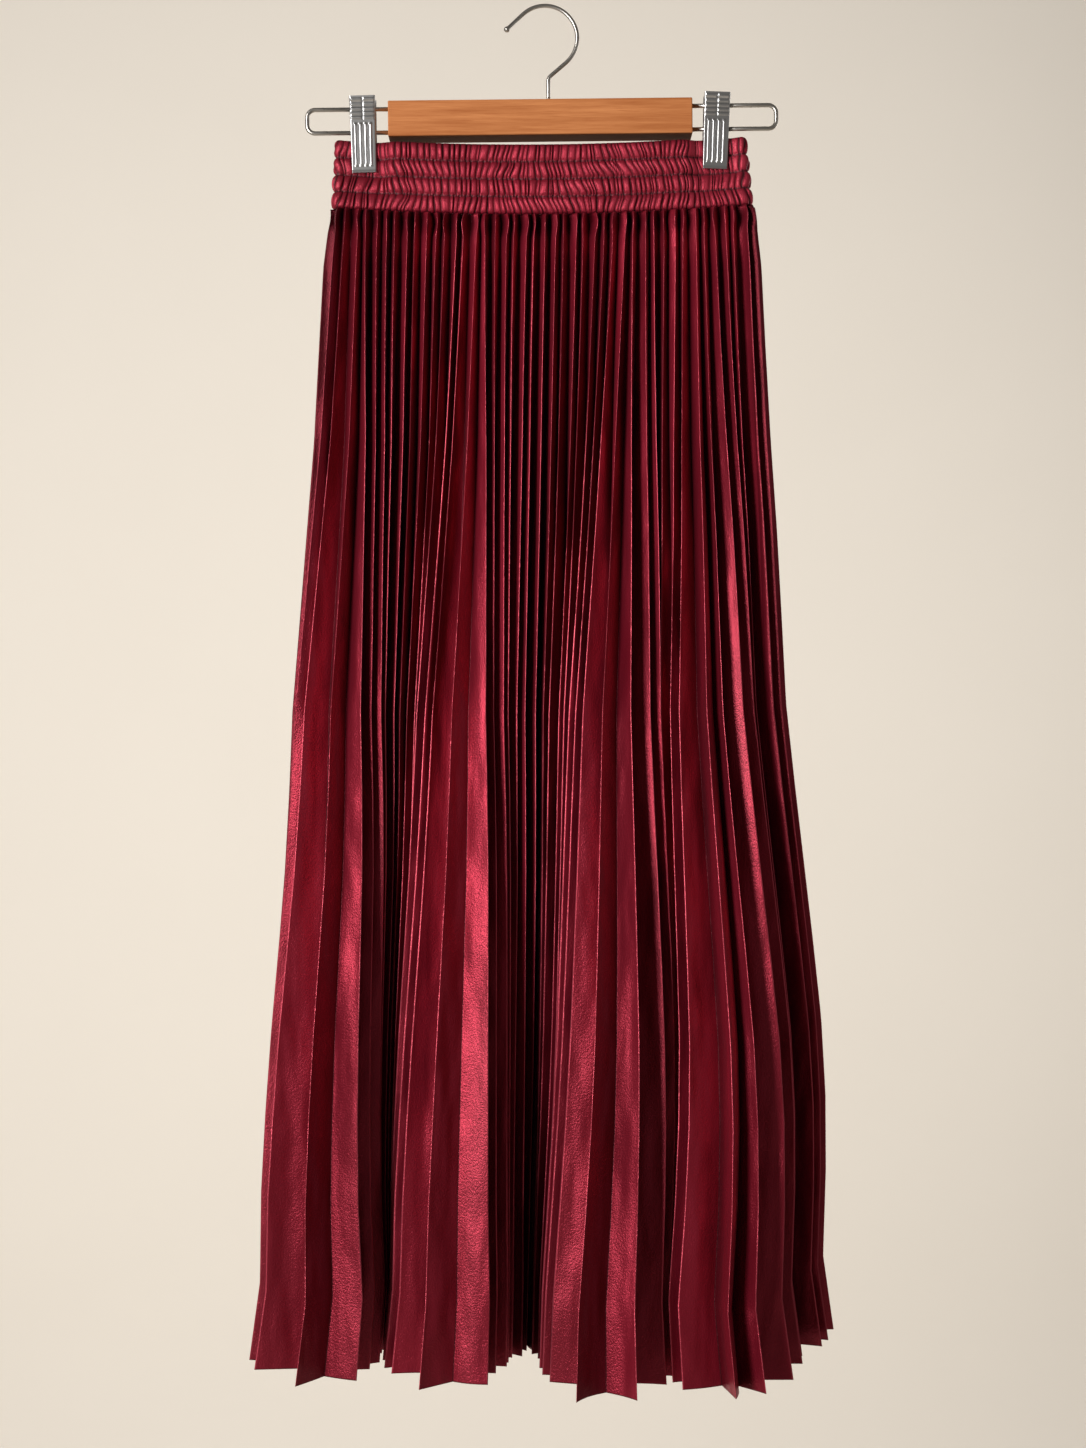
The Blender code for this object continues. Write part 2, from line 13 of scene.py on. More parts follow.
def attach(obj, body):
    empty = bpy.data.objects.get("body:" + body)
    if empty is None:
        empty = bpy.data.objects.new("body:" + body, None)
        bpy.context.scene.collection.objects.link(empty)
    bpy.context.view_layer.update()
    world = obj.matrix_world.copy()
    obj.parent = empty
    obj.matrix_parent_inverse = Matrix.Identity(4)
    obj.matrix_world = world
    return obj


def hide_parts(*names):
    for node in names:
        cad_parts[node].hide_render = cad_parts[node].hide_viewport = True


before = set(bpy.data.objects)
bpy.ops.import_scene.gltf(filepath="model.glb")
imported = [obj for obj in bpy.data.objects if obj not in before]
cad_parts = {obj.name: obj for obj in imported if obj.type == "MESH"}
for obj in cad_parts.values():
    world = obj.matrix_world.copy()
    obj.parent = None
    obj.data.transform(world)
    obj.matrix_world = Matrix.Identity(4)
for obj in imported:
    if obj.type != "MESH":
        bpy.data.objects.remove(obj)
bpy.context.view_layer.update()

MM = 0.001

# Skirt: height, pleats and cloth, as in the solids
HEM_HEIGHT = -1023.0
PLEATS = 44
FACE_TOP = 9.5
FACE_HEM = 37.0
WALL_SHIFT_MOST = 3.0
SEAM_PRESS = 0.5
SEAM_PRESS_SHARE = 0.05
FOLD_GROWTH = 1.3
CROWDING = 0.5
PLEAT_UNEVEN = 0.16
PLEAT_STRIDE = 3.7
PLEAT_START = 3.3
RIDGE_AT = 0.25
VALLEY_AT = 0.75
DEPTH_UNEVEN = 0.11
DEPTH_STRIDE = 2.1
DEPTH_LEAST = 0.5
DEPTH_SHARE_LEAST = 0.3
LIMIT_POWER = 4.0
TINY = 0.001
BASE_STEPS = 8
BEND_BLUR = 6
TOP_LEFT = -157.5
TOP_RIGHT = 156.5
TOP_HALF_DEPTH = 9.0
GAP = 0.3

# Waistband, as in the solids
BAND_CHANNELS = 4
CHANNEL_HEIGHT = 13.0
BAND_CENTRE_TOP = -104.6
BAND_SIDE_RISE = 6.2
BAND_HALF_WIDTH = 155.0
BAND_TILT = 0.0087
BAND_LEFT = (-157.0, -159.0)
BAND_RIGHT = (152.5, 157.0)
BAND_OPEN = 6.4
BAND_PRESSED = 0.5
BAND_END_RADIUS = 4.5
BAND_SEAM_WALL = 1.3
BAND_PUFF = 2.0
BAND_HOLLOW_STEPS = 400
PRESS_HALF_WIDTH = 12.0
PRESS_FADE = 16.0
CLIP_PLACES = (("left", -136.4, 1.0), ("right", 129.2, -2.6))

SECTIONS = (
    # share, left_mm, right_mm
    (0.00, 0.0, 0.0),
    (0.04, 0.0, -0.5),
    (0.12, 1.0, -2.0),
    (0.20, 2.0, -3.0),
    (0.28, 1.0, -3.0),
    (0.36, 0.0, -4.0),
    (0.43, -1.0, -5.0),
    (0.50, 0.5, -2.5),
    (0.57, 1.0, 0.5),
    (0.64, 0.0, 3.5),
    (0.71, -1.0, 6.0),
    (0.78, -1.0, 5.5),
    (0.85, 0.0, 2.0),
    (0.93, 4.0, -4.5),
    (1.00, 0.0, 0.0),
)
FRONT_FOLDS = (
    # across_mm, back_mm, lift_mm, opened
    (-205, 52, 0, 1.0),
    (-206, 18, 0, 1.5),
    (-185, -12, 0, 2.2),
    (-158, -18, 0, 2.2),
    (-147, 10, 0, 1.0),
    (-141, 42, 0, 0.9),
    (-124, 60, 0, 0.85),
    (-106, 42, 0, 0.9),
    (-101, 8, 0, 1.0),
    (-84, -24, 0, 2.2),
    (-60, -28, 0, 2.2),
    (-50, 6, 0, 1.0),
    (-38, 42, 0, 0.9),
    (-10, 62, 0, 0.8),
    (12, 38, 0, 0.9),
    (18, -8, 0, 1.1),
    (28, -50, 0, 2.3),
    (54, -53, 0, 2.3),
    (79, -18, 0, 1.5),
    (97, 8, 0, 1.3),
    (112, -22, 0, 1.3),
    (130, -42, 0, 1.2),
    (156, -34, 0, 1.6),
    (173, 0, 0, 2.1),
    (184, 38, 2, 1.3),
    (198, 54, 5, 1.0),
    (209, 78, 8, 1.0),
)
BACK_FOLDS = (
    # across_mm, back_mm, lift_mm, opened
    (209, 78, 8, 1.0),
    (205, 106, 6, 1.2),
    (178, 128, 2, 1.5),
    (146, 112, 0, 0.8),
    (104, 136, 0, 1.4),
    (56, 114, 0, 0.8),
    (8, 138, 0, 1.5),
    (-44, 112, 0, 0.8),
    (-92, 136, 0, 1.5),
    (-140, 126, 0, 0.9),
    (-172, 116, 0, 1.2),
    (-198, 80, 0, 1.0),
    (-205, 52, 0, 1.0),
)

# Fine cloth: shell, steps down and across each pleat face
SHELL = 0.4
CLOTH_RINGS = 84
RING_CROWDING = 1.15
FACE_STEPS = (0.0, 0.035, 0.25, 0.5, 0.75, 0.965)
FACE_BOW = 0.05
BOW_SWAY = 0.8
BOW_WAVES = 5.0
LEAST_RUN = 1e-6
FRONT_SEED = 3
BACK_SEED = 5
HEM_EDGE = 0.9988
HEM_EDGE_SHADE = 0.75

# Tucks under the seam: reach down, rings, mm out, sizes, mm to the side
TUCK_SHARE = 0.022
TUCK_RINGS = (0.0015, 0.0035, 0.006, 0.009, 0.012, 0.016, 0.02)
TUCK_OUT = 4.0
TUCK_SIZES = (0.35, 1.3)
TUCK_LEAN = 1.0
TUCK_VALLEYS = -0.5

# Shading inside the folds: reach across, depth at seam and hem, where it starts, amounts
FOLD_REACH = 45.0
FOLD_DEPTH_TOP = 22.0
FOLD_DEPTH_HEM = 105.0
FOLD_SHADE_START = 0.42
FOLD_SHADE = 0.92
FAR_OFF = 1e6
PLEAT_SHADE = 0.85
PLEAT_SHADE_BELOW = 0.35
SEAM_SHADE = 0.9
SEAM_SHADE_SHARE = 0.03
SEAM_SHADE_BELOW = 0.5
SIDE_SHADE = 0.9
SIDE_SHADE_WIDTH = 22.0
SIDE_SHADE_RIGHT = 2.0
SIDE_SHADE_SHARE = 0.7
SIDE_SHADE_BACK = 0.4

# Camera and room
CAMERA_PLACE = (-0.0005, -1.508, -0.537)
CAMERA_LENS = 50.0


def link(item):
    bpy.context.scene.collection.objects.link(item)
    return item


def mesh_piece(name, points, faces):
    """A mesh object from points in millimetres, with its faces turned outwards."""
    mesh = bpy.data.meshes.new(name)
    mesh.from_pydata((np.array(points, dtype=float) * MM).tolist(), [], faces)
    shaper = bmesh.new()
    shaper.from_mesh(mesh)
    bmesh.ops.recalc_face_normals(shaper, faces=shaper.faces)
    shaper.to_mesh(mesh)
    shaper.free()
    mesh.shade_smooth()
    return link(bpy.data.objects.new(name, mesh))


def flatten_rims(piece, first):
    """Rim faces, which come last in the mesh, keep their own flat shading."""
    for face in piece.data.polygons[first:]:
        face.use_smooth = False


def point_values(piece, name, values):
    """A number on each point, which the materials read by name."""
    layer = piece.data.attributes.new(name, "FLOAT", "POINT")
    layer.data.foreach_set("value", np.asarray(values, dtype=np.float32))


# Curves seen from above, as in the solids

def rounded_line(rows, steps=20):
    """A smooth curve through rows of numbers."""
    rows = np.array(rows, dtype=float)
    first = rows[1].copy()
    first[1] = 2.0 * rows[0][1] - rows[1][1]
    last = rows[-2].copy()
    last[1] = 2.0 * rows[-1][1] - rows[-2][1]
    rows = np.vstack([first, rows, last])
    points = []
    for before, start, end, after in zip(rows, rows[1:], rows[2:], rows[3:]):
        for step in np.linspace(0.0, 1.0, steps, endpoint=False):
            points.append(0.5 * (2.0 * start + (end - before) * step
                                 + (2.0 * before - 5.0 * start + 4.0 * end - after) * step ** 2
                                 + (3.0 * start - before - 3.0 * end + after) * step ** 3))
    points.append(rows[-2])
    return np.array(points)


def at_lengths(points, shares, opened=None):
    """Places at shares of a line's length, where opened cloth takes fewer pleats."""
    steps = np.linalg.norm(np.diff(points[:, :2], axis=0), axis=1)
    if opened is not None:
        steps = steps / (0.5 * (opened[1:] + opened[:-1]))
    travelled = np.concatenate([[0.0], np.cumsum(steps)]) / steps.sum()
    return np.stack([np.interp(shares, travelled, column) for column in points.T], axis=1)


def flat_loop_half(left, right, depth, steps=12):
    """The front half of a flat loop with round ends, from left to right."""
    turn = np.linspace(0.0, pi / 2, steps)
    left_end = [(left + depth - depth * cos(angle), -depth * sin(angle)) for angle in turn]
    right_end = [(right - depth + depth * cos(angle), -depth * sin(angle)) for angle in turn[::-1]]
    return np.array(left_end + right_end)


def seam_height(across):
    """Height of the waist seam, which sags in the middle and tilts a little."""
    top = BAND_CENTRE_TOP + BAND_SIDE_RISE * (across / BAND_HALF_WIDTH) ** 2 + BAND_TILT * across
    return top - BAND_CHANNELS * CHANNEL_HEIGHT


def sway(across, share, section_columns):
    """How far the cloth stands beside its straight taper, at a share of the drop."""
    shares, lefts, rights = section_columns
    rightness = np.clip((across - TOP_LEFT) / (TOP_RIGHT - TOP_LEFT), 0.0, 1.0)
    return (np.interp(share, shares, lefts) * (1.0 - rightness) ** 2
            + np.interp(share, shares, rights) * rightness ** 2)


def crease_places():
    """Where the creases stand, counted in pleats: 1 out, -1 in, 0 at the side seams."""
    places = [(0.0, 0)]
    for pleat in range(PLEATS):
        uneven = PLEAT_UNEVEN * sin(PLEAT_STRIDE * pleat + PLEAT_START)
        places.append((pleat + RIDGE_AT + uneven, 1))
        places.append((pleat + VALLEY_AT + 0.5 * uneven, -1))
    places.append((float(PLEATS), 0))
    return places


def crease_ring(folds, is_front, share):
    """The creases of one ring of a panel: X, Y and Z of each, in millimetres."""
    steps = np.linspace(0.0, 1.0, PLEATS * BASE_STEPS + 1)
    top = at_lengths(flat_loop_half(TOP_LEFT, TOP_RIGHT, TOP_HALF_DEPTH), steps)
    if not is_front:
        top = top[::-1] * (1.0, -1.0)
    hem_line = rounded_line(folds)
    hem = at_lengths(hem_line, steps, hem_line[:, 3])
    across = top[:, 0] + (hem[:, 0] - top[:, 0]) * share
    across = across + sway(across, share, np.array(SECTIONS).T)
    back = top[:, 1] + (hem[:, 1] - top[:, 1]) * share ** FOLD_GROWTH
    top_height = seam_height(top[:, 0]) - GAP
    height = top_height + (HEM_HEIGHT + hem[:, 2] - top_height) * share
    run = np.stack([np.gradient(across), np.gradient(back)], axis=1)
    length = np.linalg.norm(run, axis=1)
    run = run / length[:, None]
    pitch = length * BASE_STEPS
    facing = np.stack([run[:, 1], -run[:, 0]], axis=1)
    bend = np.gradient(np.unwrap(np.arctan2(run[:, 1], run[:, 0]))) / length
    bend = np.convolve(np.pad(bend, BEND_BLUR, mode="edge"),
                       np.ones(2 * BEND_BLUR + 1) / (2 * BEND_BLUR + 1), mode="valid")
    face = FACE_TOP + (FACE_HEM - FACE_TOP) * share
    press = min(1.0, SEAM_PRESS + (1.0 - SEAM_PRESS) * share / SEAM_PRESS_SHARE)
    least = (DEPTH_SHARE_LEAST * face) ** 2
    depth = 0.5 * press * np.sqrt(np.maximum(face ** 2 - (pitch / 2.0) ** 2, least))
    places = np.array(crease_places())
    here = places[:, 0] * BASE_STEPS
    side = places[:, 1]
    spot = np.arange(len(across))
    middle = np.stack([np.interp(here, spot, across), np.interp(here, spot, back)], axis=1)
    normal = np.stack([np.interp(here, spot, facing[:, 0]),
                       np.interp(here, spot, facing[:, 1])], axis=1)
    middle[side == 0, 1] += -GAP / 2 if is_front else GAP / 2
    uneven = 1.0 + DEPTH_UNEVEN * np.sin(DEPTH_STRIDE * np.arange(len(here)))
    local_depth = np.interp(here, spot, depth) * uneven
    tightness = np.maximum(0.0, -side * np.interp(here, spot, bend))
    most = CROWDING / np.maximum(tightness, TINY) - np.where(side < 0, WALL_SHIFT_MOST, 0.0)
    most = np.maximum(DEPTH_LEAST, most)
    reach = local_depth / (1.0 + (local_depth / most) ** LIMIT_POWER) ** (1.0 / LIMIT_POWER)
    flat = middle + normal * (reach * side)[:, None]
    return np.column_stack([flat, np.interp(here, spot, height)])


def ring_shares(count):
    """Rings from seam to hem, closer together just below the seam."""
    shares = np.linspace(0.0, 1.0, count) ** RING_CROWDING
    return np.concatenate([[0.0], TUCK_RINGS, shares[shares > TUCK_SHARE][:-1], [HEM_EDGE, 1.0]])


def tuck_creases(creases, shares, is_front, chance):
    """Small puffed loops where each pleat is gathered into the seam."""
    sides = np.array([side for place, side in crease_places()])
    size = chance.uniform(*TUCK_SIZES, len(sides)) * np.where(sides > 0, 1.0, TUCK_VALLEYS)
    lean = chance.normal(0.0, TUCK_LEAN, len(sides)) * (sides != 0)
    part = np.clip(shares / TUCK_SHARE, 0.0, 1.0)
    puff = np.sin(pi * part) * (1.0 - part) ** 0.5
    toward = -1.0 if is_front else 1.0
    creases[:, :, 1] += toward * TUCK_OUT * puff[:, None] * (size * (sides != 0))[None, :]
    creases[:, :, 0] += puff[:, None] * lean[None, :]
    return creases


def make_panel(name, folds, is_front, seed):
    """A thin pleated shell: soft faces between sharp pressed creases."""
    chance = np.random.default_rng(seed)
    shares = ring_shares(CLOTH_RINGS)
    creases = np.array([crease_ring(folds, is_front, share) for share in shares])
    creases = tuck_creases(creases, shares, is_front, chance)
    faces_across = creases.shape[1] - 1
    bow = chance.normal(0.0, FACE_BOW, faces_across)
    wander = chance.uniform(0.0, 2.0 * pi, faces_across)
    columns = []
    # Crease marks for the satin: 1 on ridge creases for a painted highlight, -1 on valley creases for
    # painted shade
    crease_light_and_shade = []
    fold = []
    closed = []
    tone_of_face = chance.normal(0.0, 1.0, faces_across)
    tone = []
    sides = np.array([side for place, side in crease_places()])
    for number in range(faces_across):
        start = creases[:, number]
        end = creases[:, number + 1]
        run = end[:, :2] - start[:, :2]
        out = np.stack([run[:, 1], -run[:, 0]], axis=1)
        sag = bow[number] * (1.0 + BOW_SWAY * np.sin(BOW_WAVES * shares + wander[number]))
        edge_on = 1.0 - np.abs(run[:, 0]) / np.linalg.norm(run, axis=1)
        for step in FACE_STEPS:
            point = start + (end - start) * step
            point[:, :2] += out * (sag * sin(pi * step))[:, None]
            columns.append(point)
            crease_light_and_shade.append(float(sides[number]) if step == 0.0 else 0.0)
            fold.append(sides[number] + (sides[number + 1] - sides[number]) * step)
            closed.append(edge_on)
            tone.append(tone_of_face[number])
    columns.append(creases[:, -1])
    crease_light_and_shade.append(0.0)
    fold.append(0.0)
    closed.append(closed[-1])
    tone.append(tone_of_face[-1])
    outer = np.stack(columns, axis=1)
    shade = pleat_shade(outer, np.array(fold), np.array(closed).T, shares, is_front)
    run = np.gradient(outer[:, :, :2], axis=1)
    run = run / np.maximum(np.linalg.norm(run, axis=2), LEAST_RUN)[:, :, None]
    inner = outer.copy()
    inner[:, :, 0] -= run[:, :, 1] * SHELL
    inner[:, :, 1] += run[:, :, 0] * SHELL
    rows, width = outer.shape[:2]
    points = np.concatenate([outer.reshape(-1, 3), inner.reshape(-1, 3)])
    faces = shell_faces(rows, width)
    piece = mesh_piece(name, points, faces)
    flatten_rims(piece, 2 * (rows - 1) * (width - 1))
    point_values(piece, "crease_light_and_shade", np.tile(np.array(crease_light_and_shade), 2 * rows))
    point_values(piece, "tone", np.tile(np.array(tone), 2 * rows))
    point_values(piece, "shade", np.tile(shade.ravel(), 2))
    return piece


def pleat_shade(outer, fold, closed, shares, is_front):
    """How shaded each place is, from 0 to 1: inside shut pleats and deep in the large folds."""
    shade = np.zeros(outer.shape[:2])
    toward = 1.0 if is_front else -1.0
    for row, share in enumerate(shares):
        across = outer[row, :, 0]
        back = outer[row, :, 1] * toward
        near = np.abs(across[:, None] - across[None, :]) < FOLD_REACH
        nearest = np.where(near, back[None, :], FAR_OFF).min(axis=1)
        sunk = (back - nearest) / (FOLD_DEPTH_TOP + FOLD_DEPTH_HEM * share)
        sunk = np.clip((sunk - FOLD_SHADE_START) / (1.0 - FOLD_SHADE_START), 0.0, 1.0)
        shut = np.clip(PLEAT_SHADE_BELOW - fold, 0.0, 1.0) * closed[row] * PLEAT_SHADE
        near_seam = max(0.0, 1.0 - share / SEAM_SHADE_SHARE)
        tuck = SEAM_SHADE * near_seam * np.clip(SEAM_SHADE_BELOW - fold, 0.0, 1.0)
        from_end = np.minimum(across - across.min(), SIDE_SHADE_RIGHT * (across.max() - across))
        side = SIDE_SHADE * np.clip(1.0 - from_end / SIDE_SHADE_WIDTH, 0.0, 1.0)
        side = side * max(0.0, 1.0 - share / SIDE_SHADE_SHARE)
        side = side * (1.0 if is_front else SIDE_SHADE_BACK)
        shade[row] = 1.0 - (1.0 - sunk * FOLD_SHADE) * (1.0 - shut) * (1.0 - tuck) * (1.0 - side)
    shade[-1] = np.maximum(shade[-1], HEM_EDGE_SHADE)
    return shade


def shell_faces(rows, width):
    """Faces of a shell whose outer points come first and inner points after them."""
    faces = []
    inner = rows * width
    for row in range(rows - 1):
        for column in range(width - 1):
            after = column + 1
            here = row * width
            below = here + width
            faces.append((here + column, here + after, below + after, below + column))
            faces.append((inner + here + column, inner + below + column,
                          inner + below + after, inner + here + after))
    for row in (0, rows - 1):
        for column in range(width - 1):
            here = row * width + column
            faces.append((here, here + 1, inner + here + 1, inner + here))
    for row in range(rows - 1):
        for column in (0, width - 1):
            here = row * width + column
            faces.append((here, here + width, inner + here + width, inner + here))
    return faces


# Waistband: its hollow, its gathers and its stitch lines, with painted shade along the stitch lines
# and in the grooves

def pressing(across):
    """How far the clips press the band: 1 under a clip, 0 away from both."""
    hold = 0.0
    for name, centre, lean in CLIP_PLACES:
        off = max(0.0, abs(across - centre) - PRESS_HALF_WIDTH) / PRESS_FADE
        hold = max(hold, 1.0 - min(1.0, off) ** 2 * (3.0 - 2.0 * min(1.0, off)))
    return hold


def band_hollow(share, columns):
    """The line of the band's inside, shut under the clips, at a share of its height."""
    left = BAND_LEFT[0] + (BAND_LEFT[1] - BAND_LEFT[0]) * share + BAND_SEAM_WALL + BAND_PUFF
    right = BAND_RIGHT[0] + (BAND_RIGHT[1] - BAND_RIGHT[0]) * share - BAND_SEAM_WALL - BAND_PUFF
    release = min(1.0, max(0.0, share - 0.5) * 2.0)
    half = []
    for across in np.linspace(left, right, BAND_HOLLOW_STEPS):
        to_end = min(across - left, right - across, BAND_END_RADIUS)
        round_end = sqrt(1.0 - (1.0 - to_end / BAND_END_RADIUS) ** 2)
        hold = pressing(across) * (1.0 - release)
        half.append((across, -round_end * (BAND_OPEN + (BAND_PRESSED - BAND_OPEN) * hold)))
    half = np.array(half)
    loop = np.vstack([half, half[-2::-1] * (1.0, -1.0)])
    return at_lengths(loop, np.arange(columns) / columns)


def facing_out(loop):
    """Outward directions round a closed loop."""
    run = np.roll(loop, -1, axis=0) - np.roll(loop, 1, axis=0)
    run = run / np.linalg.norm(run, axis=1)[:, None]
    return np.stack([run[:, 1], -run[:, 0]], axis=1)


BAND_SEED = 11
BAND_FINE_COLUMNS = 2400
CHANNEL_ROWS = 9
FINE_GATHERS = 156
GATHER_DEPTH = 1.0
GATHER_WIDTHS = (0.55, 1.55)
GATHER_DEPTHS = (0.45, 1.2)
GROOVE_SHARPNESS = 6.0
GATHER_JITTER = 0.18
STITCH_LEANS = 24
STITCH_LEAN = 0.35
WAVE_AT_STITCH = 0.3
HELD_UNTIL = 0.55
HELD_PUFF_LOST = 0.3
HELD_WAVE_LOST = 0.6
LEAST_THICK = 0.5
# Painted shade along the stitch lines and in the grooves between gathers, and a painted highlight on
# the puffed ribs
STITCH_LINE_SHADE = 0.9
GROOVE_SHADE = 1.3
RIB_HIGHLIGHT = 0.25
BAND_INNER_SHARES = (0.0, 0.5, 1.0)


def gather_edges(chance):
    """Where the grooves between the gathers stand round the band, from 0 to 1."""
    widths = chance.uniform(*GATHER_WIDTHS, FINE_GATHERS)
    return np.concatenate([[0.0], np.cumsum(widths)]) / widths.sum()


def gather_wave(edges, depths, places):
    """Round ribs with narrow grooves between them: 1 on a rib, down to -1 in a groove."""
    phase = np.interp(places, edges, np.arange(FINE_GATHERS + 1))
    depth = np.interp(places, edges, depths)
    return depth * (1.0 - 2.0 * np.abs(np.cos(pi * phase)) ** GROOVE_SHARPNESS)


def make_band():
    """Four puffed channels of fine gathers, over a plain inside."""
    chance = np.random.default_rng(BAND_SEED)
    places = np.arange(BAND_FINE_COLUMNS) / BAND_FINE_COLUMNS
    base = gather_edges(chance)
    channel_edges = []
    channel_depths = []
    for channel in range(BAND_CHANNELS):
        edges = base + chance.normal(0.0, GATHER_JITTER / FINE_GATHERS, FINE_GATHERS + 1)
        edges[0], edges[-1] = 0.0, 1.0
        depths = chance.uniform(*GATHER_DEPTHS, FINE_GATHERS + 1)
        depths[-1] = depths[0]
        channel_edges.append(np.sort(edges))
        channel_depths.append(depths)
    lean = chance.normal(0.0, STITCH_LEAN / FINE_GATHERS, (BAND_CHANNELS, STITCH_LEANS))
    points = []
    groove = []
    rows = BAND_CHANNELS * CHANNEL_ROWS + 1
    for row in range(rows):
        share = row / (rows - 1)
        loop = band_hollow(share, BAND_FINE_COLUMNS)
        out = facing_out(loop)
        channel = min(BAND_CHANNELS - 1, row // CHANNEL_ROWS)
        part = row / CHANNEL_ROWS - channel
        puff = sin(pi * part) ** 0.5 if 0.0 < part < 1.0 else 0.0
        wobble = np.interp(places * STITCH_LEANS, np.arange(STITCH_LEANS), lean[channel],
                           period=STITCH_LEANS) * cos(pi * part)
        wave = gather_wave(channel_edges[channel], channel_depths[channel], (places + wobble) % 1.0)
        hold = np.array([pressing(x) for x in loop[:, 0]]) * (1.0 if share < HELD_UNTIL else 0.0)
        thick = BAND_SEAM_WALL + puff * (BAND_PUFF - HELD_PUFF_LOST * hold)
        wave_here = wave * (WAVE_AT_STITCH + (1.0 - WAVE_AT_STITCH) * puff)
        thick = thick + GATHER_DEPTH * wave_here * (1.0 - HELD_WAVE_LOST * hold)
        flat = loop + out * np.maximum(LEAST_THICK, thick)[:, None]
        height = seam_height(flat[:, 0]) + (1.0 - share) * BAND_CHANNELS * CHANNEL_HEIGHT
        points.append(np.column_stack([flat, height]))
        # Painted shade at the stitch lines and in the grooves, painted highlight on the ribs; the
        # satin reads it as crease light and shade
        stitch = STITCH_LINE_SHADE if part in (0.0, 1.0) and 0 < row < rows - 1 else 0.0
        groove.append(GROOVE_SHADE * np.minimum(0.0, wave) - stitch
                      + RIB_HIGHLIGHT * np.maximum(0.0, wave) * puff)
    for share in BAND_INNER_SHARES:
        loop = band_hollow(share, BAND_FINE_COLUMNS)
        height = seam_height(loop[:, 0]) + (1.0 - share) * BAND_CHANNELS * CHANNEL_HEIGHT
        points.append(np.column_stack([loop, height]))
    piece = mesh_piece("waistband_gathered", np.concatenate(points), band_faces(rows))
    band_light_and_shade = np.concatenate(groove)
    plain = np.zeros(len(BAND_INNER_SHARES) * BAND_FINE_COLUMNS)
    point_values(piece, "crease_light_and_shade", np.concatenate([band_light_and_shade, plain]))
    point_values(piece, "tone", np.full(len(band_light_and_shade) + len(plain), BAND_TONE))
    point_values(piece, "shade", np.zeros(len(band_light_and_shade) + len(plain)))
    return piece


def band_faces(rows):
    """Outer rows, then inner rows, joined at both rims."""
    faces = []
    inner_rows = len(BAND_INNER_SHARES)
    width = BAND_FINE_COLUMNS
    for column in range(width):
        after = (column + 1) % width
        for row in list(range(rows - 1)) + list(range(rows, rows + inner_rows - 1)):
            here = row * width
            faces.append((here + column, here + after, here + width + after, here + width + column))
        for outer, inner in ((0, rows), (rows - 1, rows + inner_rows - 1)):
            faces.append((outer * width + column, outer * width + after,
                          inner * width + after, inner * width + column))
    return faces


# Hanger: bar, wires, hook and clips, as in the solids

HANGER_LEAN = 0.62
BAR_CENTRE = (-3.5, -84.5)
BAR_SIZE = (227.0, 20.0, 26.7)
WIRE_RADIUS = 1.65
WIRE_HEIGHTS = (-74.8, -92.4)
WIRE_ENDS = (-178.2, 173.4)
WIRE_CORNER = 6.0
WIRE_SEAT = 22.0
HOOK_RADIUS = 24.3
HOOK_WIRE = 1.5
HOOK_CENTRE_X = 0.6
HOOK_START = 133.0
HOOK_END = -50.0
HOOK_SHANK_X = 2.8
HOOK_SEAT = 12.0
HOOK_BALL = 2.3
HOOK_TIP_RUN = 16.0
HOOK_BEND = 6.0
HOOK_STEPS = 66
TURN_STEPS = 12
WIRE_RUN_IN = 2.0
HOOK_BALL_ROUND = (12.0, 30.0, 50.0, 70.0, 90.0, 110.0, 125.0, 139.0)
CLIP_TOP = -66.4
CLIP_HEIGHT = 57.2
CLIP_WIDTH = 19.4
JAW_INSIDE = 4.6
JAW_FLARE = 1.6
JAW_STEEL = 1.3
JAW_COLUMNS = 61
JAW_ROWS = 121
JAW_TAPER = 0.05
FLARE_HEIGHT = 7.0
LIP = 0.5
LIP_HEIGHT = 2.5
EDGE_DROP = 0.7
EDGE_WIDTH = 0.9
SHARP_ANGLE = 50.0

LEAN = Matrix.Rotation(-radians(HANGER_LEAN), 4, "Y")


def arc(centre_x, centre_z, radius, start, end, steps):
    """Points on a round stretch of wire, from a start to an end angle in degrees."""
    angles = [radians(start + (end - start) * step / steps) for step in range(steps + 1)]
    return [(centre_x + radius * cos(angle), centre_z + radius * sin(angle)) for angle in angles]


def tube(name, path, radii, sides=16):
    """A round rod along a path in the hanger's plane, leaning as the hanger does."""
    path = np.array(path)
    run = np.gradient(path, axis=0)
    run = run / np.linalg.norm(run, axis=1)[:, None]
    points = []
    for (x, z), (run_x, run_z), radius in zip(path, run, radii):
        for side in range(sides):
            angle = 2.0 * pi * side / sides
            out = radius * cos(angle)
            points.append((x - run_z * out, radius * sin(angle), z + run_x * out))
    faces = [tuple(range(sides)), tuple(range(len(points) - sides, len(points)))]
    for row in range(len(path) - 1):
        for side in range(sides):
            after = (side + 1) % sides
            faces.append((row * sides + side, row * sides + after,
                          (row + 1) * sides + after, (row + 1) * sides + side))
    piece = mesh_piece(name, points, faces)
    piece.data.transform(LEAN)
    return piece


def make_wire(name, side, outer):
    """A long loop of wire that carries one clip."""
    upper, lower = WIRE_HEIGHTS
    seat = BAR_CENTRE[0] + side * (BAR_SIZE[0] / 2 - WIRE_SEAT)
    turn = outer - side * WIRE_CORNER
    side_angle = 90.0 - side * 90.0
    foot_angle = 90.0 - side * 180.0
    path = [(seat, upper), (turn - side * WIRE_RUN_IN, upper)]
    path += arc(turn, upper - WIRE_CORNER, WIRE_CORNER, 90.0, side_angle, TURN_STEPS)
    path += arc(turn, lower + WIRE_CORNER, WIRE_CORNER, side_angle, foot_angle, TURN_STEPS)
    path += [(turn - side * WIRE_RUN_IN, lower), (seat, lower)]
    return tube(name, path, [WIRE_RADIUS] * len(path))


